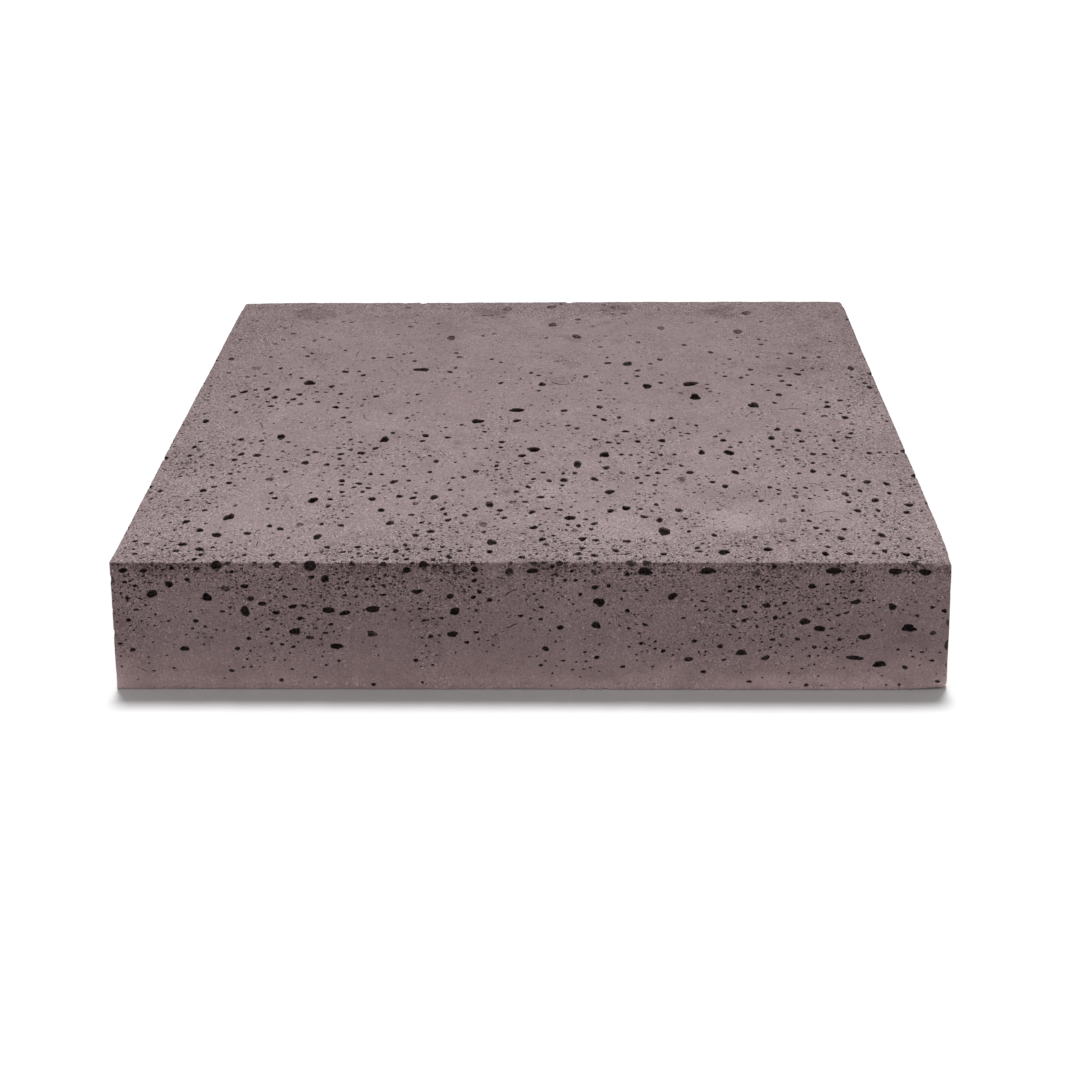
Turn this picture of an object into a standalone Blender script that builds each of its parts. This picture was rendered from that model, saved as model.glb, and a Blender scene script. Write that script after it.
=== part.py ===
"""A leatherworker's slab: one thick square block of stone that leather is tooled and struck on.

Run it with blender --background --python part.py, or from Blender's text editor.

Frame: metres, +Z up. The origin is the middle of the underside, which lies on the bench.
+X is to the right and +Y runs from the front side to the back side.
The block is a single solid. Both of its large faces are flat, and its sides lean in slightly.
"""

import bmesh
import bpy

# Driving dimensions, in metres.
INCH = 0.0254
SIDE = 12 * INCH  # width and depth of the underside, which is the block's widest level
THICKNESS = 2 * INCH
LEAN = 0.002  # how far each side leans in on its way up to the top face
ARRIS_RADIUS = 0.0016  # rounding along every edge of the block
ARRIS_SEGMENTS = 3

# Finish of the stone: a mauve-grey that is dull all over.
STONE_COLOUR = (0.26, 0.21, 0.215, 1.0)
STONE_ROUGHNESS = 0.8
STONE_METALLIC = 0.0


def clear_scene():
    """Removes whatever the scene already holds."""
    for leftover in list(bpy.data.objects):
        bpy.data.objects.remove(leftover)


def stone_material():
    """Plain dull stone."""
    material = bpy.data.materials.new("stone")
    material.use_nodes = True
    shader = material.node_tree.nodes["Principled BSDF"]
    shader.inputs["Base Color"].default_value = STONE_COLOUR
    shader.inputs["Roughness"].default_value = STONE_ROUGHNESS
    shader.inputs["Metallic"].default_value = STONE_METALLIC
    return material


def block_mesh(name):
    """A square block whose four sides lean in by LEAN between the underside and the top."""
    levels = ((0.0, SIDE / 2), (THICKNESS, SIDE / 2 - LEAN))
    around = ((-1, -1), (1, -1), (1, 1), (-1, 1))
    shape = bmesh.new()
    under, top = (
        [shape.verts.new((x * half, y * half, height)) for x, y in around]
        for height, half in levels
    )
    shape.faces.new(reversed(under))
    shape.faces.new(top)
    for corner in range(len(around)):
        following = (corner + 1) % len(around)
        shape.faces.new((under[corner], under[following], top[following], top[corner]))
    mesh = bpy.data.meshes.new(name)
    shape.to_mesh(mesh)
    shape.free()
    return mesh


def ease_edges(block):
    """Rounds every edge and corner, and keeps the large faces shaded flat."""
    block.data.shade_smooth()
    rounding = block.modifiers.new("arris", "BEVEL")
    rounding.width = ARRIS_RADIUS
    rounding.segments = ARRIS_SEGMENTS
    rounding.limit_method = "NONE"
    rounding.harden_normals = True


def make_stone_slab():
    """The whole object: one block of stone."""
    block = bpy.data.objects.new("stone_slab", block_mesh("stone_slab"))
    bpy.context.scene.collection.objects.link(block)
    block.data.materials.append(stone_material())
    ease_edges(block)
    return block


clear_scene()
make_stone_slab()
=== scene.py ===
"""Looks of a leatherworker's stone slab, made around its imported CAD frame.

The CAD block is one plain solid. Here a single closed mesh of the same size stands for it, with what the
real stone adds: pores of many sizes, creases and hairline cracks, worn and chipped arrises, and sides that
are not quite flat.

The mesh is first laid out on a straight block, side by side and flat, in millimetres. Every point of it then
goes through weather(), which chips and rounds the arrises, warps the whole a little and leans the sides in.
"""

import math
import random
from dataclasses import dataclass

import bpy
import numpy as np
from mathutils import Euler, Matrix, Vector, noise
from mathutils.geometry import delaunay_2d_cdt


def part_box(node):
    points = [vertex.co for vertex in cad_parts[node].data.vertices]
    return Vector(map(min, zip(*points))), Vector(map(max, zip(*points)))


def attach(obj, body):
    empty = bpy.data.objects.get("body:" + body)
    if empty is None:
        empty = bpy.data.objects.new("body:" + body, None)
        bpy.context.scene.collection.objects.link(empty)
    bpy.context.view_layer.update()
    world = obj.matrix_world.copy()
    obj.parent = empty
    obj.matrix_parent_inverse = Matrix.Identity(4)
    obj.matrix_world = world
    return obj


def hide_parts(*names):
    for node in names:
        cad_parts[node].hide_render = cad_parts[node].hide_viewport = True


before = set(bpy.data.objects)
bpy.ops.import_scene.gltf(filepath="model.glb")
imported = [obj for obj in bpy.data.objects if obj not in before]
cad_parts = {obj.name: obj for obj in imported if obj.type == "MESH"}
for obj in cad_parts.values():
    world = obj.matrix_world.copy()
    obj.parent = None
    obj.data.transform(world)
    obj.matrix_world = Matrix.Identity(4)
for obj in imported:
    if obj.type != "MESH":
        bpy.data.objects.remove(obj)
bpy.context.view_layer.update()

# noise_vector() is offset by this seed. Without it the offset would come from the clock and change each run.
noise.seed_set(1)

NODE = "stone_slab"
MM = 0.001

# Arrises, in millimetres.
ARRIS_RADIUS = 0.8
ARRIS_RADIUS_RANGE = (0.35, 2.0)
ARRIS_WAVES = ((9.0, 0.45), (2.4, 0.35))  # what the radius wanders by: spacing of the noise, its size
FOOT_ARRIS_SHARE = 0.5  # of the radius, at the foot, which is crisper than the rest
FOOT_ARRIS_HEIGHT = 5.0
WARPS = ((75.0, 0.22), (15.0, 0.07))  # how far from flat the sides are, in the same terms
BLUNT_CORNERS = ((1, -1, 2.2), (-1, 1, 1.2), (1, 1, 1.2))  # at these ends of x and y, more rounding by that
BLUNT_CORNER_REACH = 16.0
ARRIS_STEP = 1.4  # between the points along an arris
CHIP_STEP = 0.45  # the same within a chip
EDGE_ROWS = ((0.5, 1.4), (1.2, 1.5), (2.4, 2.4))  # rows of points: distance from the arris, spacing
CHIP_SPACING = {"top": 9.0, "other": 17.0}  # average distance between chips along an arris
SMALLEST_CHIP = 0.65
LARGEST_CHIP = {"foot": 1.2, "other": 2.4}
CHIP_SIZE_POWER = 2.5  # as PORE_SIZE_POWER below
CHIP_SHARES = (0.35, 0.8)
# Chip tones above 0 are painted shade in the hollow; below 0 the chip is paler.
CHIP_TONES = {"foot": (-0.9, 0.0), "other": (-0.4, 1.0)}
CHIP_GAP = 0.8  # least stone between two chips

# Pores, in millimetres.
SMALLEST_PORE = 1.1  # smaller ones are in the material
LARGEST_PORE = 5.5
LARGEST_AMONG_NAMED = {"front": 2.4, "top": 3.2}  # on the sides whose large pores are listed below
PORE_SIZE_POWER = 2.5  # pores wider than w are as many as w to the minus this
PORES_PER_SQUARE_MM = {"top": 0.085, "front": 0.27, "other": 0.2}  # where they are thickest
PORE_GAP = 0.15  # least stone between two pores
MEAN_POROSITY = 0.36
POROSITY_WAVES = ((42.0, 0.5), (15.0, 0.75))  # spacing of the noise, its size
LEAST_POROSITY = 0.015
POROUS_BAND = (6.0, 20.0)  # up a side, pores go from few to many between these heights
FEWER_AT_BACK = 0.72  # share of the top's pores that its back edge lacks
FAINTER_AT_BACK = 0.68  # share of their depth and darkness that the pores there lack
FOOT_SHARE = 0.13  # of the pores, in the dense foot of a side and in the underside
SHALLOW_SHARE = 0.12  # of the pores are shallow grey dishes
BASE_STEP = 9.0  # spacing of the points on plain stone
CRACKS = 26

# How uneven the rim of a pore is: waves around it, and the most that each adds to its radius.
PORE_LOBES = ((1, 0.15), (2, 0.2), (3, 0.16), (5, 0.08))
CORNER_SHIFT = 0.1  # the same for one corner of the rim

# How finely a pore is made: widths below the first number get that many corners, and these rings within
# the rim, each as (share of the rim's size, share of the depth).
PORE_FORMS = (
    (1.9, 6, ()),
    (2.7, 8, ((0.76, 0.6),)),
    (3.8, 11, ((0.82, 0.55),)),
    (99.0, 14, ((0.9, 0.45), (0.6, 0.85))),
)

# The slab's large pores on the front side: along, up, width, height.
FRONT_PORES = (
    (5, 47.5, 3, 1.5), (12.5, 47.5, 2.5, 1.5), (15, 38.5, 3.5, 2.5), (21.5, 42, 3, 2),
    (26, 16.5, 3.5, 1.5), (35, 37, 3.5, 2.5), (42, 40.5, 3.5, 2), (49, 41.5, 3, 1.5),
    (51, 36.5, 2.5, 1.5), (48.5, 31.5, 3.5, 3), (55, 34.5, 3, 1.5), (60, 31, 2.5, 1.5),
    (66, 33.5, 3, 1.5), (66.5, 23.5, 4, 2), (72, 21, 3, 1.5), (78.5, 44.5, 3, 2.5), (79, 32, 4.5, 2),
    (85, 31, 4, 1.5), (81.5, 17.5, 4.5, 2), (95, 32.5, 5, 2), (94.5, 22.5, 3.5, 2),
    (111.5, 39.5, 3.5, 1.5), (108, 48, 2.5, 2), (125, 31.5, 4, 2), (123.5, 37.5, 3, 1.5),
    (124, 22.5, 3.5, 2), (124, 20, 2.5, 1.5), (132.5, 48, 2.5, 2), (145, 47, 3, 2.5),
    (153.5, 47.5, 4.5, 1.5), (158, 16.5, 2.5, 1.5), (163.5, 25, 2.5, 1.5), (176, 41, 2.5, 1.5),
    (177.5, 35, 4, 2.5), (176.5, 26, 3.5, 2), (194, 47, 5, 2.5), (204, 37.5, 3.5, 2), (210, 12.5, 3, 1.5),
    (216.5, 47.5, 5.5, 2), (234, 46.5, 3.5, 2), (229, 15, 4.5, 1.5), (238, 13, 3, 1.5), (238, 34, 3, 1.5),
    (252, 27.5, 4, 2), (257.5, 25, 3.5, 2), (254.5, 41.5, 3, 1.5), (262.5, 47.5, 5.5, 2),
    (270.5, 35.5, 3.5, 1.5), (270.5, 13, 6, 1.5), (274, 21.5, 4, 2), (279.5, 10.5, 4.5, 2),
    (284.5, 47.5, 4.5, 2), (283.5, 33.5, 3, 2), (286, 30.5, 3.5, 3), (290, 25, 4.5, 2.5),
    (295, 47, 4.5, 2), (298.5, 23, 2.5, 1.5),
)

NAMED_PORE_SCALE = {"front": (1.1, 1.35), "top": (1.08, 1.1)}  # from a dark middle to the rim around it

# The same on the top: along, back from the front side, width, length.
TOP_PORES = (
    (24, 15.5, 3.5, 3), (31, 11, 3.5, 3), (35, 23.5, 4, 3.5), (28, 28, 3, 3), (37, 40, 3.5, 6),
    (65, 33, 3, 3), (73, 22, 3.5, 4), (58, 29, 2.5, 3), (67, 55.5, 4, 4.5), (99, 34, 3, 4),
    (115, 26.5, 3, 3), (114, 58, 3, 4.5), (136, 51, 3.5, 5), (138, 17, 3, 5.5), (167, 38.5, 4, 4),
    (202, 26, 4, 6.5), (188, 17.5, 3, 2.5), (223, 8.5, 4, 4), (239, 11, 3.5, 3), (247, 36, 3, 4),
    (188.5, 48, 3.5, 4), (182.5, 63, 3.5, 4), (170, 91, 3.5, 6.5), (181, 101, 4, 5.5), (164.5, 75, 3, 4),
    (211, 75.5, 3, 6), (215, 82.5, 3, 3.5), (233, 82.5, 3, 4), (228, 68.5, 2.5, 3.5), (232, 103, 4, 5.5),
    (221, 103.5, 3, 4.5), (274, 61, 3, 4), (284.5, 55, 3, 4), (297, 50.5, 3.5, 3), (251, 119, 3, 4),
    (263, 128, 3, 4), (89, 118, 4, 6), (83, 116, 3, 3.5), (45, 121, 3.5, 6), (38, 101, 3, 4),
    (59, 93, 3, 4), (127, 139, 5, 5), (144, 139.5, 3, 4), (144, 152, 6, 4.5), (152, 107, 5, 5),
    (10, 139, 3, 4), (48.5, 187, 5, 6), (21, 206, 4, 5), (27, 205, 3, 4), (98, 204, 6, 5),
    (154, 184.5, 3, 5), (221, 185, 7, 5), (222, 168, 4.5, 7), (247, 158, 4.5, 6), (193, 211, 4, 6),
    (201, 181, 4, 6), (170, 250, 4, 6), (109, 249, 4, 6), (211, 263, 3.5, 6), (248, 257, 4, 6),
    (255, 286, 5, 6), (272, 296, 5, 5), (157, 296, 4.5, 5), (135, 293, 4.5, 6), (158, 268, 4, 6),
    (296, 205, 3, 5), (285, 143, 3, 4),
)

# Creases: where one starts, its heading there, its length, how far it turns over that, and its width. Angles
# are in degrees. A heading of 0 is to the right, and 90 is towards the back of the top or up the front side.
TOP_CREASES = (
    (47, 76, -60, 8, 0, 0.4), (54, 66, 65, 7, 0, 0.4), (49, 24, 85, 9, -45, 0.4),
    (51, 19, -80, 6, 0, 0.4), (33, 140, -72, 10, 0, 0.5), (5, 7, 35, 4, 0, 0.4),
    (118, 136, 12, 7, 0, 1.3), (210, 30, 15, 8, -15, 0.9), (261, 42, 45, 9, -60, 0.4),
    (270, 41, -45, 6, -20, 0.5), (259, 71, 5, 11, -55, 0.4), (247, 61, -55, 4, 0, 0.5),
    (245, 113, 45, 5, 0, 0.9), (242, 143, 65, 6, 0, 0.5), (276, 3, 50, 8, 0, 0.4),
    (231, 15, -35, 8, 20, 0.5), (172, 14, -10, 4, 0, 0.7), (257, 152, 20, 18, -50, 0.7),
    (283, 143, 60, 5, 0, 0.5), (158, 188, -65, 12, 110, 0.9), (163, 246, 15, 8, 25, 1.5),
    (263, 240, -25, 5, 0, 1.5), (186, 285, -5, 8, 0, 1.8), (121, 283, 0, 8, 0, 1.6),
    (25, 281, 15, 6, 0, 1.5), (37, 283, 0, 6, 0, 1.5), (196, 182, -15, 8, 0, 1.2),
    (101, 229, -60, 5, 0, 1.0),
)
FRONT_CREASES = (
    (112, 42, 25, 5, 0, 0.6), (140, 45, -10, 4, 0, 0.7), (143, 37, 50, 9, -55, 0.7),
    (143, 25, 5, 8, 60, 0.7), (153, 31, 0, 4, 0, 0.8), (131, 32, 20, 5, 0, 0.4), (9, 9, -35, 9, 30, 0.35),
    (11, 6, 30, 6, 0, 0.35),
)

NAMED_PORES = {"front": FRONT_PORES, "top": TOP_PORES}
NAMED_CREASES = {"front": FRONT_CREASES, "top": TOP_CREASES}

# Chips that show on the top's front arris: along, down from it, then radius, share and tone as in Chip.
FRONT_ARRIS_CHIPS = (
    (39, 1.2, 2.1, 0.8, 1.0), (73, 1.2, 2.4, 0.8, 1.0), (61, 0.6, 1.3, 0.7, 0.7), (53, 0, 0.9, 0.7, 0.8),
    (88, 0.5, 0.9, 0.7, 0.9), (99.5, 0.6, 1.2, 0.7, 0.7), (114, 0.8, 1.7, 0.8, 0.9), (132, 0, 0.9, 0.6, 0.8),
    (176, 0, 1.0, 0.6, 0.8), (194.5, 0.3, 1.2, 0.6, 0.9), (189, 0, 2.2, 0.5, 0.4), (275, 0, 1.3, 0.6, -0.6),
    (291, 0, 1.3, 0.6, 0.6),
)

# Colours, linear. Plain stone is mostly midway between the first two.
PALEST_STONE = (0.545, 0.437, 0.443)
DARKEST_STONE = (0.079, 0.041, 0.043)
UPRIGHT_SHADE_AND_TINT = (0.83, 0.76, 0.76)  # times those, on the upright sides: painted shade that keeps them darker than the top, and a mauver tint
FOOT_GAIN = 2.2  # how much brighter the foot of an upright side is painted than the rest: painted light that offsets the floor's shade there, and partly a real paler foot
# Near-black painted shade inside pores, cracks and dark chips, partly dark dirt.
PORE_SHADE_COLOUR = (0.010, 0.0035, 0.004)
FLOOR_COLOUR = (0.9, 0.9, 0.9)

# Patches that are paler or darker than the rest, in millimetres: along, back and up from the front left
# foot, how far each reaches in those directions, and how much it adds to the tone, where 1 is very pale.
TONE_PATCHES = (
    (228, 38, 51, 20, 13, 9, 0.30), (182, 28, 51, 28, 20, 9, 0.18), (160, 62, 51, 14, 14, 9, 0.16),
    (272, 56, 51, 22, 14, 9, 0.14), (287, 145, 51, 18, 30, 9, 0.18), (45, 160, 51, 28, 18, 9, 0.10),
    (85, 138, 51, 22, 16, 9, 0.10), (150, 6, 51, 26, 6, 4, 0.14), (20, 75, 51, 16, 24, 9, 0.08),
    (37, 284, 51, 15, 12, 9, -0.26), (128, 288, 51, 15, 16, 9, -0.30), (190, 289, 51, 15, 10, 9, -0.26),
    (241, 287, 51, 15, 14, 9, -0.30), (272, 290, 51, 12, 12, 9, -0.16), (105, 262, 51, 16, 22, 9, -0.14),
    (158, 270, 51, 10, 14, 9, -0.18), (270, 206, 51, 30, 12, 9, -0.14), (226, 62, 51, 28, 14, 9, -0.12),
    (165, 213, 51, 8, 10, 9, -0.20), (48, 224, 51, 8, 12, 9, -0.22), (168, 249, 51, 9, 8, 9, -0.22),
    (218, 175, 51, 14, 14, 9, -0.14), (160, 188, 51, 12, 7, 9, -0.16), (272, 232, 51, 12, 12, 9, -0.14),
    (226, 0, 0, 96, 7, 10, 0.26), (285, 0, 5, 36, 7, 11, 0.20), (4, 0, 3, 14, 7, 9, 0.16),
    (112, 0, 26, 20, 7, 8, -0.14), (160, 0, 49, 38, 5, 7, -0.18), (200, 0, 40, 12, 6, 8, -0.14),
    (25, 0, 48, 28, 5, 5, -0.10), (290, 0, 24, 15, 6, 9, -0.12), (250, 0, 49, 56, 4, 4, -0.10),
)

# Light.
LIGHT_STRENGTH = 2.9
LIGHT_SPREAD = math.radians(11)
LIGHT_TILT = math.radians(16.2)
SURROUNDINGS = 0.32  # strength of the white all around, as a light

# Camera: its place is in widths of the block from the middle of the underside.
CAMERA_PLACE = (0.051, -2.417, 1.101)
CAMERA_PITCH = math.radians(25.2)
CAMERA_YAW = math.radians(1.15)
CAMERA_ROLL = math.radians(-0.49)
CAMERA_LENS = 61.06


def smooth_step(low, high, value):
    """0 below low, 1 above high, and an even rise between."""
    share = min(max((value - low) / (high - low), 0.0), 1.0)
    return share * share * (3 - 2 * share)


# ---------------- the straight block


def measure_block():
    """Half-width of the CAD block at its foot, its height, and how much its sides lean in per millimetre."""
    low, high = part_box(NODE)
    height = high.z - low.z
    corners = [vertex.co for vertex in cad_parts[NODE].data.vertices]
    lower = max((place for place in corners if place.z < height / 2), key=lambda place: place.x)
    upper = max((place for place in corners if place.z > height / 2), key=lambda place: place.x)
    lean = (lower.x - upper.x) / (upper.z - lower.z)
    return round((lower.x + lean * lower.z) / MM, 2), round(height / MM, 2), lean


HALF, HEIGHT, LEAN = measure_block()
X, Y, Z = Vector((1, 0, 0)), Vector((0, 1, 0)), Vector((0, 0, 1))


@dataclass
class Side:
    """One flat side of the straight block, with its own directions across and up."""

    name: str
    corner: Vector
    across: Vector
    up: Vector
    width: float
    height: float

    def outward(self):
        return self.across.cross(self.up)

    def place(self, u, v, depth=0.0):
        """The point of the block at u across and v up this side, that deep in the stone."""
        return self.corner + self.across * u + self.up * v - self.outward() * depth

    def flat(self, place):
        """The reverse of place(), for a point on this side."""
        return (place - self.corner).dot(self.across), (place - self.corner).dot(self.up)


def block_sides():
    low, high = -HALF, HALF
    width = 2 * HALF
    return [
        Side("top", Vector((low, low, HEIGHT)), X, Y, width, width),
        Side("front", Vector((low, low, 0)), X, Z, width, HEIGHT),
        Side("right", Vector((high, low, 0)), Y, Z, width, HEIGHT),
        Side("back", Vector((high, high, 0)), -X, Z, width, HEIGHT),
        Side("left", Vector((low, high, 0)), -Y, Z, width, HEIGHT),
        Side("under", Vector((low, high, 0)), X, -Y, width, width),
    ]


def block_arrises():
    """The twelve arrises, each as (start, end, the direction into the stone)."""
    arrises = []
    for a in (-HALF, HALF):
        for b in (-HALF, HALF):
            into = Vector((-math.copysign(1, a), -math.copysign(1, b), 0)).normalized()
            arrises.append((Vector((a, b, 0)), Vector((a, b, HEIGHT)), into))
        for level in (0, HEIGHT):
            down = -1 if level else 1
            into_x = Vector((-math.copysign(1, a), 0, down)).normalized()
            into_y = Vector((0, -math.copysign(1, a), down)).normalized()
            arrises.append((Vector((a, -HALF, level)), Vector((a, HALF, level)), into_x))
            arrises.append((Vector((-HALF, a, level)), Vector((HALF, a, level)), into_y))
    return arrises


# ---------------- what wears the stone


class Crowd:
    """Balls in space, kept so that those near a place are found fast."""

    CELL = 4.0

    def __init__(self):
        self.cells = {}
        self.largest = 0.0

    def add(self, place, radius, item=None):
        key = tuple(int(c // self.CELL) for c in place)
        self.cells.setdefault(key, []).append((place, radius, item))
        self.largest = max(self.largest, radius)

    def touching(self, place, radius):
        """Every ball that comes within radius of the place."""
        reach = radius + self.largest
        spans = [range(int((c - reach) // self.CELL), int((c + reach) // self.CELL) + 1) for c in place]
        for i in spans[0]:
            for j in spans[1]:
                for k in spans[2]:
                    for ball in self.cells.get((i, j, k), ()):
                        if (ball[0] - place).length < ball[1] + radius:
                            yield ball

    def is_clear(self, place, radius):
        return next(self.touching(place, radius), None) is None


@dataclass
class Chip:
    """A hollow broken out of an arris."""

    centre: Vector
    radius: float
    into: Vector
    share: float  # of the radius, that it goes into the stone
    tone: float  # how dark it is painted, up to 1, a painted shade in the hollow, or how pale if below 0


def named_chips():
    """The chips that show: the middle of each, on or near an arris, then its radius, share and tone."""
    top, left, right, front = HEIGHT, -HALF, HALF, -HALF
    along_top = [(left + u, front, top - down, *form) for u, down, *form in FRONT_ARRIS_CHIPS]
    others = [
        (left, front + 98, top, 2.4, 0.6, 0.8), (right, front + 105, top, 2.6, 0.55, 0.5),
        (right, front + 52, top, 1.6, 0.5, 0.6), (left, front, 44, 2.0, 0.45, 0.3),
        (left, front, 22.5, 2.0, 0.35, 0.2), (right, front, 18, 2.2, 0.5, 0.8),
        (right, front, 27, 1.6, 0.45, 0.7), (left + 180, front, 0, 1.2, 0.5, -0.7),
        (left + 210, front, 0, 1.0, 0.5, -0.7), (left + 289, front, 0, 1.3, 0.5, -0.8),
    ]
    return [(Vector((x, y, z)), *form) for x, y, z, *form in along_top + others]


def make_chips():
    """The named chips, and small ones along every arris. Those at the foot are smaller and pale."""
    rng = random.Random(11)
    arrises = block_arrises()
    crowd = Crowd()

    def add(centre, radius, into, share, tone):
        if crowd.is_clear(centre, radius + CHIP_GAP):
            crowd.add(centre, radius, Chip(centre, radius, into, share, tone))

    for centre, radius, share, tone in named_chips():
        nearest = min(arrises, key=lambda arris: distance_to_line(centre, *arris[:2]))
        add(centre, radius, nearest[2], share, tone)
    for start, end, into in arrises:
        length = (end - start).length
        spacing = CHIP_SPACING["top" if min(start.z, end.z) > 1.0 else "other"]
        for _ in range(round(length / spacing)):
            centre = start.lerp(end, rng.uniform(0.02, 0.98))
            level = "foot" if centre.z < 1.0 else "other"
            radius = SMALLEST_CHIP * (1 - rng.random()) ** (-1 / CHIP_SIZE_POWER)
            share = rng.uniform(*CHIP_SHARES)
            tone = rng.uniform(*CHIP_TONES[level])
            add(centre, min(radius, LARGEST_CHIP[level]), into, share, tone)
    return crowd


def distance_to_line(place, start, end):
    """How far a place is from the straight line between two others."""
    direction = (end - start).normalized()
    return (place - start - direction * (place - start).dot(direction)).length


CHIPS = make_chips()


def chipped(place):
    """The place pushed back onto the hollow of a chip that it is in, and how dark it is there."""
    for centre, radius, chip in CHIPS.touching(place, 0.0):
        away = (place - centre) / radius
        reach = away.length
        hollow = (away + (1 - reach) * chip.into).normalized() * radius
        roughness = 1 + 0.45 * noise.noise(place * 1.1)
        pushed = place.lerp(centre + hollow, chip.share * roughness * min(1.0, 3 * (1 - reach)))
        return pushed, chip.tone * smooth_step(0.0, 0.35, 1 - reach)
    return place, 0.0


def rounded(place):
    """The place brought inside the rounding of the nearest arris, whose radius wanders."""
    radius = ARRIS_RADIUS
    for spacing, size in ARRIS_WAVES:
        radius += size * noise.noise(place / spacing)
    radius *= FOOT_ARRIS_SHARE + (1 - FOOT_ARRIS_SHARE) * smooth_step(0.0, FOOT_ARRIS_HEIGHT, place.z)
    radius = min(max(radius, ARRIS_RADIUS_RANGE[0]), ARRIS_RADIUS_RANGE[1])
    for x_end, y_end, extra in BLUNT_CORNERS:
        away = math.hypot(place.x - x_end * HALF, place.y - y_end * HALF)
        radius += extra * smooth_step(-BLUNT_CORNER_REACH, -3.0, -away)
    inner = Vector((
        min(max(place.x, radius - HALF), HALF - radius),
        min(max(place.y, radius - HALF), HALF - radius),
        min(max(place.z, radius), HEIGHT - radius),
    ))
    away = place - inner
    if away.length <= radius:
        return place
    return inner + away * (radius / away.length)


def warped(place):
    """The place on a block that is not quite flat or straight, but still rests on a level underside."""
    shift = Vector()
    for spacing, size in WARPS:
        shift += noise.noise_vector(place / spacing) * size
    shift.z *= place.z / HEIGHT
    return place + shift


def leaned(place):
    """The place with the sides leaning in towards the top, as the CAD block's do."""
    share = 1 - LEAN * place.z / HALF
    return Vector((place.x * share, place.y * share, place.z))


# ---------------- pores and cracks


@dataclass
class Pore:
    """A hollow in a side, with an uneven oval rim."""

    u: float
    v: float
    half_width: float
    half_height: float
    turn: float
    depth: float
    # how dark its inside is painted: painted shade, deepest at the bottom, partly dirt
    tone: float
    corners: int
    rings: tuple  # as in PORE_FORMS
    lobes: list
    shifts: list  # of each corner

    def rim(self, scale=1.0, drift=(0.0, 0.0)):
        """The points of the rim, or of the rim drawn in towards the pore's middle."""
        points = []
        for i in range(self.corners):
            angle = 2 * math.pi * i / self.corners
            waves = sum(size * math.cos(n * angle + start) for n, size, start in self.lobes)
            reach = scale * (1 + waves + self.shifts[i])
            x = reach * self.half_width * math.cos(angle)
            y = reach * self.half_height * math.sin(angle)
            points.append((
                self.u + drift[0] + x * math.cos(self.turn) - y * math.sin(self.turn),
                self.v + drift[1] + x * math.sin(self.turn) + y * math.cos(self.turn),
            ))
        return points

    def reach(self):
        """Radius of a ball that holds the whole pore."""
        uneven = 1 + sum(size for _, size, _ in self.lobes) + max(self.shifts)
        return max(max(self.half_width, self.half_height) * uneven, self.depth)


def make_pore(rng, side, u, v, width, height=None):
    """One pore, of the form that suits its width. On the upright sides it is flattened and tips a little."""
    level = side.name in ("top", "under")
    turn = rng.gauss(0, 0.35) if level else rng.gauss(0.1, 0.16)
    if height is None:
        height = width * (rng.uniform(0.8, 1.5) if level else rng.uniform(0.45, 0.85))
    else:
        turn *= 0.4
        width *= NAMED_PORE_SCALE[side.name][0]
        height *= NAMED_PORE_SCALE[side.name][1]
    shallow = rng.random() < SHALLOW_SHARE
    depth = min(width, height) * (rng.uniform(0.2, 0.3) if shallow else rng.uniform(0.5, 0.8))
    tone = rng.uniform(0.25, 0.5) if shallow else rng.uniform(0.45, 1.0) ** 0.5
    corners, rings = next(form[1:] for form in PORE_FORMS if width < form[0])
    lobes = [(n, rng.uniform(0.0, most), rng.uniform(0, 2 * math.pi)) for n, most in PORE_LOBES]
    shifts = [rng.uniform(-CORNER_SHIFT, CORNER_SHIFT) for _ in range(corners)]
    return Pore(u, v, width / 2, height / 2, turn, depth, tone, corners, rings, lobes, shifts)


def porosity(place):
    """How thickly pores lie at a place, from 0 to 1. They gather in drifts, and a side's foot has few."""
    drifts = MEAN_POROSITY
    for spacing, size in POROSITY_WAVES:
        drifts += size * noise.noise(place / spacing)
    drifts *= FOOT_SHARE + (1 - FOOT_SHARE) * smooth_step(*POROUS_BAND, place.z)
    if place.z > HEIGHT - 0.01:
        drifts *= 1.0 - FEWER_AT_BACK * smooth_step(-HALF, HALF, place.y)
    return min(max(drifts, LEAST_POROSITY), 1.0)


def scatter_pores(sides, crowd):
    """Pores for every side, largest first, each where it keeps its distance from all the others."""
    rng = random.Random(23)
    pores = {side.name: [] for side in sides}

    def add(side, pore):
        place = side.place(pore.u, pore.v)
        if side.name == "top":
            fainter = 1 - FAINTER_AT_BACK * smooth_step(-HALF * 0.1, HALF * 0.9, place.y)
            pore.tone *= fainter
            pore.depth *= fainter
        crowd.add(place, pore.reach())
        pores[side.name].append(pore)

    for side in sides:
        for u, v, width, height in NAMED_PORES.get(side.name, ()):
            pore = make_pore(rng, side, u, v, width, height)
            if crowd.is_clear(side.place(u, v), pore.reach() * 0.8):
                add(side, pore)
    for side in sides:
        largest = LARGEST_AMONG_NAMED.get(side.name, LARGEST_PORE)
        thickness = PORES_PER_SQUARE_MM.get(side.name, PORES_PER_SQUARE_MM["other"])
        count = round(thickness * side.width * side.height)
        widths = [SMALLEST_PORE * (1 - rng.random()) ** (-1 / PORE_SIZE_POWER) for _ in range(count)]
        for width in sorted((w for w in widths if w < largest), reverse=True):
            pore = make_pore(rng, side, 0.0, 0.0, width)
            margin = pore.reach() + 0.35
            for _ in range(2):
                pore.u = rng.uniform(margin, side.width - margin)
                pore.v = rng.uniform(margin, side.height - margin)
                place = side.place(pore.u, pore.v)
                if rng.random() > porosity(place):
                    continue
                clearance = pore.reach() + PORE_GAP
                if crowd.is_clear(place, clearance) and CHIPS.is_clear(place, clearance):
                    add(side, pore)
                    break
    return pores


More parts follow.
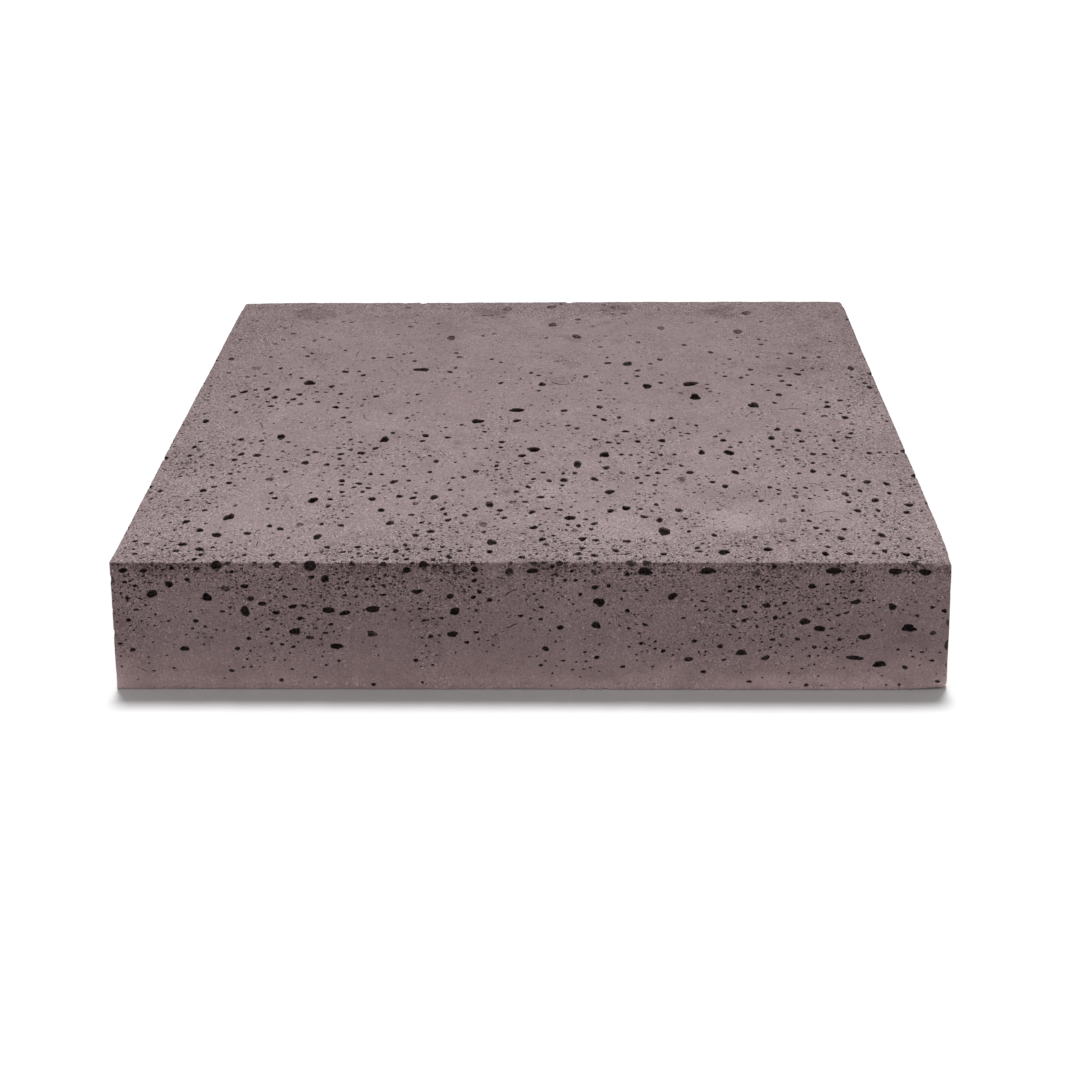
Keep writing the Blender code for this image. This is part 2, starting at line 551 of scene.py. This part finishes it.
@dataclass
class Crack:
    """A hairline groove along a curved line of points, widest in its middle."""

    line: list
    width: float
    depth: float
    # how dark the groove is painted: painted shade, partly dirt
    tone: float

    def edges(self):
        """The groove's right and left edges, without its two ends."""
        right, left = [], []
        last = len(self.line) - 1
        for i in range(1, last):
            along = Vector(self.line[i + 1]) - Vector(self.line[i - 1])
            sideways = Vector((-along.y, along.x)).normalized()
            half = self.width / 2 * math.sin(math.pi * i / last) ** 0.5
            middle = Vector(self.line[i])
            right.append(tuple(middle - sideways * half))
            left.append(tuple(middle + sideways * half))
        return right, left


def scatter_cracks(sides, crowd):
    """The named creases, where pores and chips leave room, and hairlines on all sides but the underside."""
    rng = random.Random(37)
    cracks = {side.name: [] for side in sides}

    def add(side, line, width, tone):
        for u, v in line:
            crowd.add(side.place(u, v), width / 2 + 0.25)
        cracks[side.name].append(Crack(line, width, min(width * 0.9, 0.6), tone))

    def is_free(side, u, v, width):
        place, gap = side.place(u, v), width / 2 + 0.3
        inside = 1.8 < u < side.width - 1.8 and 1.8 < v < side.height - 1.8
        return inside and crowd.is_clear(place, gap) and CHIPS.is_clear(place, gap + 0.3)

    for side in sides:
        for u, v, heading, length, turn, width in NAMED_CREASES.get(side.name, ()):
            runs = [[]]
            for point in curved_line(rng, u, v, math.radians(heading), length, math.radians(turn)):
                if is_free(side, *point, width):
                    runs[-1].append(point)
                else:
                    runs.append([])
            longest = max(runs, key=len)
            if len(longest) > 3:
                tone = rng.uniform(0.65, 0.9) if side.name == "top" else rng.uniform(0.4, 0.6)
                add(side, longest, width, tone)
    seen = [side for side in sides if side.name != "under"]
    areas = [side.width * side.height for side in seen]
    made = 0
    while made < CRACKS:
        side = rng.choices(seen, areas)[0]
        heading = rng.uniform(0, 2 * math.pi) if side.name == "top" else rng.gauss(0, 0.5)
        u, v = rng.uniform(6, side.width - 6), rng.uniform(6, side.height - 6)
        line = curved_line(rng, u, v, heading, rng.uniform(3, 13), rng.uniform(-2, 2))
        width = rng.uniform(0.25, 0.45)
        if all(is_free(side, u, v, width) for u, v in line):
            add(side, line, width, rng.uniform(0.3, 0.7))
            made += 1
    return cracks


def curved_line(rng, u, v, heading, length, turn):
    """Points about a millimetre apart on a line that turns evenly, each a little off it, with radians."""
    steps = max(4, round(length / 1.1))
    line = []
    for _ in range(steps + 1):
        line.append((u + rng.uniform(-0.22, 0.22), v + rng.uniform(-0.22, 0.22)))
        u += math.cos(heading) * length / steps
        v += math.sin(heading) * length / steps
        heading += turn / steps
    return line


# ---------------- the mesh


class Shell:
    """The mesh as it grows: points of the straight block, shared where sides meet, and triangles."""

    def __init__(self):
        self.points = []
        self.darkness = []
        self.rim_of = []
        self.triangles = []
        self.atlas = []
        self.known = {}
        self.rims = 0

    def point(self, place, darkness=0.0, rim=0):
        key = tuple(round(c, 3) for c in place)
        if key not in self.known:
            self.known[key] = len(self.points)
            self.points.append(place)
            self.darkness.append(darkness)
            self.rim_of.append(rim)
        return self.known[key]

    def triangle(self, corners, atlas):
        self.triangles.append(corners)
        self.atlas.extend(atlas)

    def next_rim(self):
        self.rims += 1
        return self.rims


def arris_stations(start, end):
    """Points from start to end along an arris, closer together where it is chipped."""
    length = (end - start).length
    direction = (end - start) / length
    count = round(length / ARRIS_STEP)
    places = [length * i / count for i in range(count + 1)]
    for centre, radius, _ in CHIPS.touching(start.lerp(end, 0.5), length / 2):
        at = (centre - start).dot(direction)
        off = distance_to_line(centre, start, end)
        if off > radius * 0.9:
            continue
        steps = int(math.sqrt(radius ** 2 - off ** 2) * 1.1 / CHIP_STEP)
        fine = [at + CHIP_STEP * k for k in range(-steps, steps + 1)]
        fine = [s for s in fine if 0.3 < s < length - 0.3]
        kept = [s for s in places if s in (0.0, length) or all(abs(s - f) > CHIP_STEP * 0.7 for f in fine)]
        places = sorted(kept + fine)
    return [Vector(round(c, 2) for c in start + direction * s) for s in places]


def outline_points(side):
    """The side's own boundary, with the same points as its neighbours'."""
    corners = [(0, 0), (side.width, 0), (side.width, side.height), (0, side.height)]
    found = []
    for (u0, v0), (u1, v1) in zip(corners, corners[1:] + corners[:1]):
        ends = sorted((side.place(u0, v0), side.place(u1, v1)), key=lambda place: tuple(place))
        found.extend(side.flat(place) for place in arris_stations(*ends))
    unique = {(round(u, 3), round(v, 3)): (u, v) for u, v in found}
    return list(unique.values())


def plain_points(side, crowd, rng):
    """Points between the pores: rows along the arrises, a loose grid, and dense ones in chips."""
    points = []

    def add(u, v, clearance, in_chip=False):
        place = side.place(u, v)
        if crowd.is_clear(place, clearance) and (in_chip or CHIPS.is_clear(place, 0.1)):
            points.append((u, v))

    for distance, spacing in EDGE_ROWS:
        for length, across in ((side.width, True), (side.height, False)):
            count = round((length - 2 * distance) / spacing)
            for i in range(count + 1):
                s = distance + (length - 2 * distance) * i / count
                for t in (distance, (side.height if across else side.width) - distance):
                    if across:
                        add(s, t, 0.15)
                    elif 0 < i < count:
                        add(t, s, 0.15)
    inner = EDGE_ROWS[-1][0] + 2.0
    columns = round((side.width - 2 * inner) / BASE_STEP)
    rows = round((side.height - 2 * inner) / BASE_STEP)
    for i in range(columns + 1):
        for j in range(rows + 1):
            u = inner + (side.width - 2 * inner) * i / columns + rng.uniform(-1.5, 1.5)
            v = inner + (side.height - 2 * inner) * j / rows + rng.uniform(-1.5, 1.5)
            add(u, v, 0.6)
    middle = side.place(side.width / 2, side.height / 2)
    for centre, ball, _ in CHIPS.touching(middle, math.hypot(side.width, side.height) / 2):
        off = abs((centre - side.corner).dot(side.outward()))
        if off > ball * 0.9:
            continue
        radius = math.sqrt(ball ** 2 - off ** 2)
        cu, cv = side.flat(centre)
        steps = int(radius / CHIP_STEP) + 1
        for i in range(-steps, steps + 1):
            for j in range(-steps, steps + 1):
                u = cu + i * CHIP_STEP + rng.uniform(-0.08, 0.08)
                v = cv + j * CHIP_STEP + rng.uniform(-0.08, 0.08)
                inside = 0.3 < u < side.width - 0.3 and 0.3 < v < side.height - 0.3
                if inside and math.hypot(u - cu, v - cv) < radius * 1.02:
                    add(u, v, 0.1, in_chip=True)
    return points


def atlas_corner(sides, side):
    """Where a side starts in the square texture atlas, and its scale there, in shares of the square."""
    gap = 2.0
    upright = [other.name for other in sides if other.name not in ("top", "under")]
    square = 2 * HALF + 4 * HEIGHT + 6 * gap
    if side.name == "top":
        return gap / square, gap / square, 1 / square
    if side.name == "under":
        scale = (square - 2 * HALF - 3 * gap) / (2 * HALF)
        return (2 * HALF + 2 * gap) / square, gap / square, scale / square
    rank = upright.index(side.name)
    return gap / square, (2 * HALF + 2 * gap + rank * (HEIGHT + gap)) / square, 1 / square


def build_side(shell, side, sides, pores, cracks, crowd):
    """Adds one side to the shell: its plain stone, then the inside of each pore and crack."""
    rng = random.Random(len(side.name) * 101 + round(side.corner.x + side.corner.z))
    corner_u, corner_v, scale = atlas_corner(sides, side)

    def on_atlas(u, v):
        return corner_u + u * scale, corner_v + v * scale

    flat_points = outline_points(side) + plain_points(side, crowd, rng)
    loops, loop_rims = [], []
    inner_parts = []
    for hollow in pores + cracks:
        if isinstance(hollow, Pore):
            outline = hollow.rim()
        else:
            right, left = hollow.edges()
            outline = [hollow.line[0], *right, hollow.line[-1], *reversed(left)]
        first = len(flat_points)
        flat_points.extend(outline)
        loops.append(list(range(first, len(flat_points))))
        loop_rims.append(shell.next_rim())
        inner_parts.append((hollow, outline))

    verts, _, faces, origins, _, owners = delaunay_2d_cdt(
        [Vector(p) for p in flat_points], [], loops, 0, 0.00001, True
    )
    rim_at = {}
    for loop, rim in zip(loops, loop_rims):
        for index in loop:
            rim_at[index] = rim
    placed = []
    for vert, sources in zip(verts, origins):
        rim = next((rim_at[s] for s in sources if s in rim_at), 0)
        placed.append(shell.point(side.place(vert.x, vert.y), 0.0, rim))
    for face, owner in zip(faces, owners):
        if owner:
            continue
        a, b, c = (verts[i] for i in face)
        if (b - a).cross(c - a) < 0:
            face = tuple(reversed(face))
        shell.triangle([placed[i] for i in face], [on_atlas(*verts[i]) for i in face])

    def add_triangles(corners, triples):
        """corners are (shell index, u, v)."""
        for triple in triples:
            shell.triangle([corners[i][0] for i in triple], [on_atlas(*corners[i][1:]) for i in triple])

    for (hollow, outline), rim in zip(inner_parts, loop_rims):
        rim_corners = [(shell.point(side.place(u, v), 0.0, rim), u, v) for u, v in outline]
        if isinstance(hollow, Pore):
            add_triangles(*pore_inside(shell, side, hollow, rim_corners, rng))
        else:
            add_triangles(*crack_inside(shell, side, hollow, rim_corners))


def pore_inside(shell, side, pore, rim_corners, rng):
    """The wall and bottom of a pore, as corners and triples of them."""
    count = pore.corners
    corners = list(rim_corners)
    triples = []
    drift = (rng.uniform(-0.1, 0.1) * pore.half_width, rng.uniform(-0.1, 0.1) * pore.half_height)
    for level, (scale, depth_share) in enumerate(pore.rings):
        shift = tuple(d * depth_share for d in drift)
        # Deeper rings are painted darker: painted shade.
        tone = pore.tone * min(1.0, 0.75 + level * 0.25)
        for u, v in pore.rim(scale, shift):
            depth = pore.depth * depth_share * rng.uniform(0.85, 1.15)
            corners.append((shell.point(side.place(u, v, depth), tone), u, v))
        outer, inner = level * count, (level + 1) * count
        for i in range(count):
            j = (i + 1) % count
            triples.append((outer + i, outer + j, inner + j))
            triples.append((outer + i, inner + j, inner + i))
    u, v = pore.u + drift[0], pore.v + drift[1]
    corners.append((shell.point(side.place(u, v, pore.depth), pore.tone), u, v))
    last_ring, bottom = len(pore.rings) * count, len(corners) - 1
    for i in range(count):
        triples.append((last_ring + i, last_ring + (i + 1) % count, bottom))
    return corners, triples


def crack_inside(shell, side, crack, rim_corners):
    """The two walls of a crack, which meet along its line."""
    inner = crack.line[1:-1]
    steps = len(inner)
    corners = list(rim_corners)
    for i, (u, v) in enumerate(inner):
        depth = crack.depth * math.sin(math.pi * (i + 1) / (steps + 1)) ** 0.5
        corners.append((shell.point(side.place(u, v, depth), crack.tone), u, v))
    start, end = 0, steps + 1
    right = [1 + i for i in range(steps)]
    left = [2 * steps + 1 - i for i in range(steps)]
    middle = [2 * steps + 2 + i for i in range(steps)]
    triples = [(start, right[0], middle[0]), (start, middle[0], left[0])]
    triples += [(right[-1], end, middle[-1]), (middle[-1], end, left[-1])]
    for i in range(steps - 1):
        triples += [(right[i], right[i + 1], middle[i + 1]), (right[i], middle[i + 1], middle[i])]
        triples += [(middle[i], middle[i + 1], left[i + 1]), (middle[i], left[i + 1], left[i])]
    return corners, triples


def weather(place):
    """Where a point of the straight block is on the worn one, and how dark a chip makes it."""
    place, tone = chipped(place)
    return leaned(warped(rounded(place))), tone


def make_slab():
    """The whole slab, as one closed mesh."""
    sides = block_sides()
    crowd = Crowd()
    pores = scatter_pores(sides, crowd)
    cracks = scatter_cracks(sides, crowd)
    shell = Shell()
    for side in sides:
        build_side(shell, side, sides, pores[side.name], cracks[side.name], crowd)

    worn = [weather(place) for place in shell.points]
    crowding = [porosity(place) for place in shell.points]
    mesh = bpy.data.meshes.new("stone_block")
    mesh.from_pydata([place * MM for place, _ in worn], [], shell.triangles)
    # The pore attribute carries the painted shade of pores, cracks and dark chips, and the paleness of pale
    # chips.
    darkness = [own or chip for own, (_, chip) in zip(shell.darkness, worn)]
    mesh.attributes.new("pore", "FLOAT", "POINT").data.foreach_set("value", darkness)
    mesh.attributes.new("porosity", "FLOAT", "POINT").data.foreach_set("value", crowding)
    atlas = mesh.uv_layers.new(name="OFBake")
    atlas.uv.foreach_set("vector", np.array(shell.atlas, np.float32).ravel())
    shade(mesh, np.array(shell.rim_of))
    mesh.validate()
    slab = bpy.data.objects.new("stone_block", mesh)
    bpy.context.scene.collection.objects.link(slab)
    return slab


def shade(mesh, rim_of):
    """Smooth stone, with a crisp line round every pore and crack."""
    mesh.shade_smooth()
    mesh.set_sharp_from_angle(angle=math.radians(42))
    ends = np.empty(len(mesh.edges) * 2, np.int32)
    mesh.edges.foreach_get("vertices", ends)
    first, second = rim_of[ends[0::2]], rim_of[ends[1::2]]
    sharp = mesh.attributes.get("sharp_edge") or mesh.attributes.new("sharp_edge", "BOOLEAN", "EDGE")
    flags = np.empty(len(mesh.edges), bool)
    sharp.data.foreach_get("value", flags)
    flags |= (first > 0) & (first == second)
    sharp.data.foreach_set("value", flags)


# ---------------- materials


class NodeTree:
    """Short ways to add nodes to a material. Inputs are numbers, colours, vectors or nodes' outputs."""

    def __init__(self, material):
        material.use_nodes = True
        self.tree = material.node_tree
        self.shader = self.tree.nodes["Principled BSDF"]

    def add(self, kind, inputs=None, **settings):
        node = self.tree.nodes.new("ShaderNode" + kind)
        for name, value in settings.items():
            setattr(node, name, value)
        for name, value in (inputs or {}).items():
            self.put(node.inputs[name], value)
        return node

    def put(self, socket, value):
        if isinstance(value, bpy.types.NodeSocket):
            self.tree.links.new(value, socket)
        elif isinstance(value, tuple) and socket.type == "RGBA":
            socket.default_value = (*value, 1.0)
        else:
            socket.default_value = value

    def math(self, operation, *values):
        return self.add("Math", dict(enumerate(values)), operation=operation).outputs[0]

    def total(self, first, *others):
        for other in others:
            first = self.math("ADD", first, other)
        return first

    def product(self, first, *others):
        for other in others:
            first = self.math("MULTIPLY", first, other)
        return first

    def rise(self, value, low, high, to_low=0.0, to_high=1.0):
        """value mapped smoothly from low..high to to_low..to_high."""
        inputs = {"Value": value, "From Min": low, "From Max": high, "To Min": to_low, "To Max": to_high}
        return self.add("MapRange", inputs, interpolation_type="SMOOTHSTEP").outputs["Result"]

    def noise(self, place, scale, detail=2.0, roughness=0.5):
        inputs = {"Vector": place, "Scale": scale, "Detail": detail, "Roughness": roughness}
        return self.add("TexNoise", inputs).outputs["Fac"]

    def swing(self, place, scale, size, detail=2.0):
        """Noise around zero, mostly within size either way."""
        return self.math("MULTIPLY_ADD", self.noise(place, scale, detail), 4 * size, -2 * size)

    def swayed(self, place, scale, reach):
        """The place moved about by noise, mostly within reach."""
        sway = self.add("TexNoise", {"Vector": place, "Scale": scale, "Detail": 2.0}).outputs["Color"]
        amount, back = (4 * reach,) * 3, (-2 * reach,) * 3
        moves = self.add("VectorMath", {0: sway, 1: amount, 2: back}, operation="MULTIPLY_ADD").outputs[0]
        return self.add("VectorMath", {0: place, 1: moves}, operation="ADD").outputs[0]

    def mix(self, share, first, second, blend_type="MIX"):
        node = self.add("Mix", data_type="RGBA", blend_type=blend_type, clamp_factor=True)
        self.put(node.inputs[0], share)
        self.put(node.inputs[6], first)
        self.put(node.inputs[7], second)
        return node.outputs[2]


def spots(nodes, place, scale, low, high):
    """Scattered spots: the distance from the nearest one's middle, and its radius, both in cells. The radius
    is drawn evenly from low to high."""
    cells = nodes.add("TexVoronoi", {"Vector": place, "Scale": scale}, feature="F1")
    draw = nodes.add("SeparateColor", {"Color": cells.outputs["Color"]}).outputs[0]
    radius = nodes.math("MULTIPLY_ADD", draw, high - low, low)
    return cells.outputs["Distance"], radius


def patches(nodes, place):
    """What the named patches add to the tone."""
    loose = nodes.swayed(place, 70.0, 0.006)
    amount = 0.0
    for along, back, up, *reach, strength in TONE_PATCHES:
        centre = ((along - HALF) * MM, (back - HALF) * MM, up * MM)
        scale = tuple(1 / (r * MM) for r in reach)
        offset = tuple(-c * k for c, k in zip(centre, scale))
        inputs = {0: loose, 1: scale, 2: offset}
        inside = nodes.add("VectorMath", inputs, operation="MULTIPLY_ADD").outputs[0]
        distance = nodes.add("VectorMath", {0: inside}, operation="LENGTH").outputs["Value"]
        amount = nodes.total(amount, nodes.rise(distance, 0.3, 1.0, strength, 0.0))
    return amount


def stone_material():
    """Porous mauve-grey stone: drifting tones, a sandy grain, pinholes, and dark pores and cracks, whose
    darkness is painted shade, partly dark dirt.
    """
    material = bpy.data.materials.new("pitted_stone")
    nodes = NodeTree(material)
    place = nodes.add("TexCoord").outputs["Object"]
    across, back, height = nodes.add("SeparateXYZ", {"Vector": place}).outputs
    normal = nodes.add("NewGeometry").outputs["True Normal"]
    facing = nodes.add("SeparateXYZ", {"Vector": normal}).outputs["Z"]
    upright = nodes.rise(nodes.math("ABSOLUTE", facing), 0.5, 0.8, 1.0, 0.0)
    pore = nodes.add("Attribute", attribute_name="pore").outputs["Fac"]
    porous = nodes.add("Attribute", attribute_name="porosity").outputs["Fac"]
    half, top = HALF * MM, HEIGHT * MM
    from_middle = nodes.math("MAXIMUM", nodes.math("ABSOLUTE", across), nodes.math("ABSOLUTE", back))
    near_arris = nodes.product(
        nodes.rise(height, top - 0.020, top - 0.002), nodes.rise(from_middle, half - 0.050, half - 0.002)
    )

    # Slow changes of tone. The dense foot of a side is pale, and a ragged strip under the top arris is dark.
    wavering = nodes.total(height, nodes.swing(place, 60.0, 0.0016))
    foot = nodes.rise(wavering, 0.012, 0.001, 0.0, 0.12)
    under_arris = nodes.product(
        nodes.rise(nodes.total(wavering, nodes.swing(place, 700.0, 0.0018)), top - 0.006, top - 0.002),
        nodes.rise(nodes.noise(place, 30.0), 0.3, 0.6), upright, -0.28,
    )
    streaks = nodes.add("VectorMath", {0: place, 1: (1.0, 1.0, 0.12)}, operation="MULTIPLY").outputs[0]
    # Lighter at the front and darker at the back, from the first term below: a painted light falloff.
    slow = nodes.total(
        nodes.rise(back, -half, half, 0.58, 0.31), nodes.swing(place, 13.0, 0.05),
        nodes.swing(place, 38.0, 0.07), nodes.swing(place, 110.0, 0.07), nodes.swing(place, 300.0, 0.07),
        patches(nodes, place), under_arris,
        nodes.product(foot, upright), nodes.product(nodes.swing(streaks, 420.0, 0.05), upright),
        nodes.rise(pore, 0.0, -0.3, 0.0, 0.4),
    )

    # Soft grey smudges a few millimetres across, and smaller ones that show mostly towards the back.
    loose = nodes.swayed(place, 300.0, 0.0012)
    smudge = 0.0
    at_back = nodes.rise(back, -half * 0.3, half, 0.0, -0.5)
    for scale, least, strength in ((95.0, -0.30, -0.30), (180.0, -0.45, at_back)):
        distance, radius = spots(nodes, loose, scale, least, 0.36)
        share = nodes.rise(distance, 0.0, nodes.math("MAXIMUM", radius, 0.001), 1.0, 0.0)
        smudge = nodes.total(smudge, nodes.product(share, strength))

    # Grain: sand of many tones, which is stronger near the arrises of the top.
    roughened = nodes.total(
        nodes.rise(back, -half, half, 1.2, 0.6), nodes.product(near_arris, 1.0),
        nodes.rise(nodes.noise(place, 35.0), 0.45, 0.65, 0.0, 0.6),
        nodes.rise(height, 0.010, 0.036, -0.4, 0.0),
    )
    loose = nodes.swayed(place, 2500.0, 0.0002)
    grains = nodes.add("TexVoronoi", {"Vector": loose, "Scale": 2100.0}, feature="F1")
    grain_tone = nodes.add("SeparateColor", {"Color": grains.outputs["Color"]}).outputs[1]
    grain = nodes.total(
        nodes.math("MULTIPLY_ADD", grain_tone, 0.44, -0.22), nodes.swing(place, 1500.0, 0.10, 3.0),
        nodes.rise(grain_tone, 0.95, 0.98, 0.0, 0.6),
    )
    tone = nodes.total(slow, smudge, nodes.product(grain, roughened))
    colour = nodes.mix(nodes.math("MULTIPLY_ADD", tone, 0.5, 0.2), DARKEST_STONE, PALEST_STONE)
    # The upright sides are painted darker than the top, a painted shade, and a little mauver.
    colour = nodes.mix(upright, colour, nodes.mix(1.0, colour, UPRIGHT_SHADE_AND_TINT, "MULTIPLY"))
    # The foot of a side is painted paler, most of all the front side's: partly a real paler foot, mostly
    # painted light that offsets the shade the floor casts there.
    pale_foot_and_painted_light = nodes.total(
        nodes.rise(wavering, 0.022, 0.004, 0.0, 0.34), nodes.rise(wavering, 0.008, 0.0, 0.0, 0.66)
    )
    pale_foot_and_painted_light = nodes.product(pale_foot_and_painted_light, upright, nodes.rise(back, -half, half * -0.88, 1.0, 0.35))
    gained = nodes.mix(1.0, colour, (FOOT_GAIN,) * 3, "MULTIPLY")
    colour = nodes.mix(pale_foot_and_painted_light, colour, gained)

    # Pinholes gather where the pores do. They are flattened on the upright sides. Their darkness is painted
    # shade of holes too small to model, partly dirt.
    loose = nodes.swayed(place, 1200.0, 0.00025)
    loose = nodes.add("VectorMath", {0: loose, 1: (1.0, 1.0, 1.5)}, operation="MULTIPLY").outputs[0]
    drifts = nodes.total(
        nodes.rise(porous, 0.0, 0.6, 0.45, 0.85), nodes.swing(place, 150.0, 0.2),
        nodes.product(near_arris, 0.35),
        nodes.product(upright, nodes.rise(height, 0.016, 0.034, 0.0, 0.12)),
    )
    holes = 0.0
    for scale, low, high in ((600.0, 0.02, 0.36), (1150.0, 0.02, 0.36)):
        distance, radius = spots(nodes, loose, scale, low, high)
        ratio = nodes.math("DIVIDE", distance, nodes.product(radius, drifts))
        holes = nodes.math("MAXIMUM", holes, nodes.rise(ratio, 0.7, 1.1, 1.0, 0.0))

    # Pores, cracks and dark chips are painted dark inside, a painted shade that is partly dirt. The rim of a
    # pore is ragged, and its wall is patchy.
    ragged = nodes.product(pore, nodes.total(1.0, nodes.swing(place, 900.0, 0.5, 3.0)))
    sunk = nodes.rise(ragged, 0.06, 0.42)
    depth = nodes.rise(nodes.noise(place, 1300.0, 2.0), 0.35, 0.6, 0.78, 0.98)
    dark = nodes.math("MAXIMUM", nodes.product(holes, 0.85), nodes.product(sunk, depth))
    nodes.put(nodes.shader.inputs["Base Color"], nodes.mix(dark, colour, PORE_SHADE_COLOUR))
    roughness = nodes.rise(nodes.noise(place, 400.0, 3.0), 0.3, 0.7, 0.78, 0.95)
    nodes.put(nodes.shader.inputs["Roughness"], roughness)
    nodes.shader.inputs["Specular IOR Level"].default_value = 0.2

    relief = nodes.math("SUBTRACT", nodes.product(grain, roughened, 0.8), holes)
    bump = nodes.add("Bump", {"Height": relief, "Strength": 0.9, "Distance": 0.0004})
    nodes.put(nodes.shader.inputs["Normal"], bump.outputs["Normal"])
    return material


def floor_material():
    """Plain pale paper, with a faint mottle."""
    material = bpy.data.materials.new("pale_floor")
    nodes = NodeTree(material)
    coordinates = nodes.add("TexCoord").outputs["Object"]
    mottle = nodes.rise(nodes.noise(coordinates, 3.0), 0.3, 0.7, 0.0, 1.0)
    shades = [tuple(c * share for c in FLOOR_COLOUR) for share in (0.99, 1.0)]
    nodes.put(nodes.shader.inputs["Base Color"], nodes.mix(mottle, *shades))
    nodes.shader.inputs["Roughness"].default_value = 0.9
    nodes.shader.inputs["Specular IOR Level"].default_value = 0.1
    return material


# ---------------- the studio


def make_floor():
    size = 6.0
    corners = [(-size, -size, 0), (size, -size, 0), (size, size, 0), (-size, size, 0)]
    mesh = bpy.data.meshes.new("floor")
    mesh.from_pydata(corners, [], [(0, 1, 2, 3)])
    floor = bpy.data.objects.new("floor", mesh)
    floor.location.z = -0.0001
    floor.data.materials.append(floor_material())
    bpy.context.scene.collection.objects.link(floor)


def make_overhead_light():
    """A broad soft light from above and a little behind, the same over the whole floor."""
    light = bpy.data.lights.new("overhead", "SUN")
    light.energy = LIGHT_STRENGTH
    light.angle = LIGHT_SPREAD
    holder = bpy.data.objects.new("overhead", light)
    holder.rotation_euler = (-LIGHT_TILT, 0.0, 0.0)
    bpy.context.scene.collection.objects.link(holder)


def make_world():
    """Soft white surroundings: dim as a light, and white where they are seen."""
    world = bpy.data.worlds.new("studio")
    world.use_nodes = True
    tree = world.node_tree
    output = tree.nodes["World Output"]
    dim = tree.nodes["Background"]
    dim.inputs["Color"].default_value = (1.0, 1.0, 1.0, 1.0)
    dim.inputs["Strength"].default_value = SURROUNDINGS
    seen = tree.nodes.new("ShaderNodeBackground")
    seen.inputs["Color"].default_value = (1.0, 1.0, 1.0, 1.0)
    path = tree.nodes.new("ShaderNodeLightPath")
    either = tree.nodes.new("ShaderNodeMixShader")
    tree.links.new(path.outputs["Is Camera Ray"], either.inputs["Fac"])
    tree.links.new(dim.outputs[0], either.inputs[1])
    tree.links.new(seen.outputs[0], either.inputs[2])
    tree.links.new(either.outputs[0], output.inputs["Surface"])
    bpy.context.scene.world = world


def make_camera():
    camera = bpy.data.cameras.new("camera")
    camera.lens = CAMERA_LENS
    camera.sensor_width = 36.0
    holder = bpy.data.objects.new("camera", camera)
    holder.location = Vector(CAMERA_PLACE) * (2 * HALF * MM)
    heading = Euler((math.pi / 2 - CAMERA_PITCH, 0.0, CAMERA_YAW)).to_matrix()
    holder.rotation_euler = (heading @ Euler((0.0, 0.0, CAMERA_ROLL)).to_matrix()).to_euler()
    bpy.context.scene.collection.objects.link(holder)
    bpy.context.scene.camera = holder


slab = make_slab()
slab.data.materials.append(stone_material())
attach(slab, "root")
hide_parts(NODE)

make_floor()
make_world()
make_overhead_light()
make_camera()
bpy.context.scene.view_settings.view_transform = "Standard"
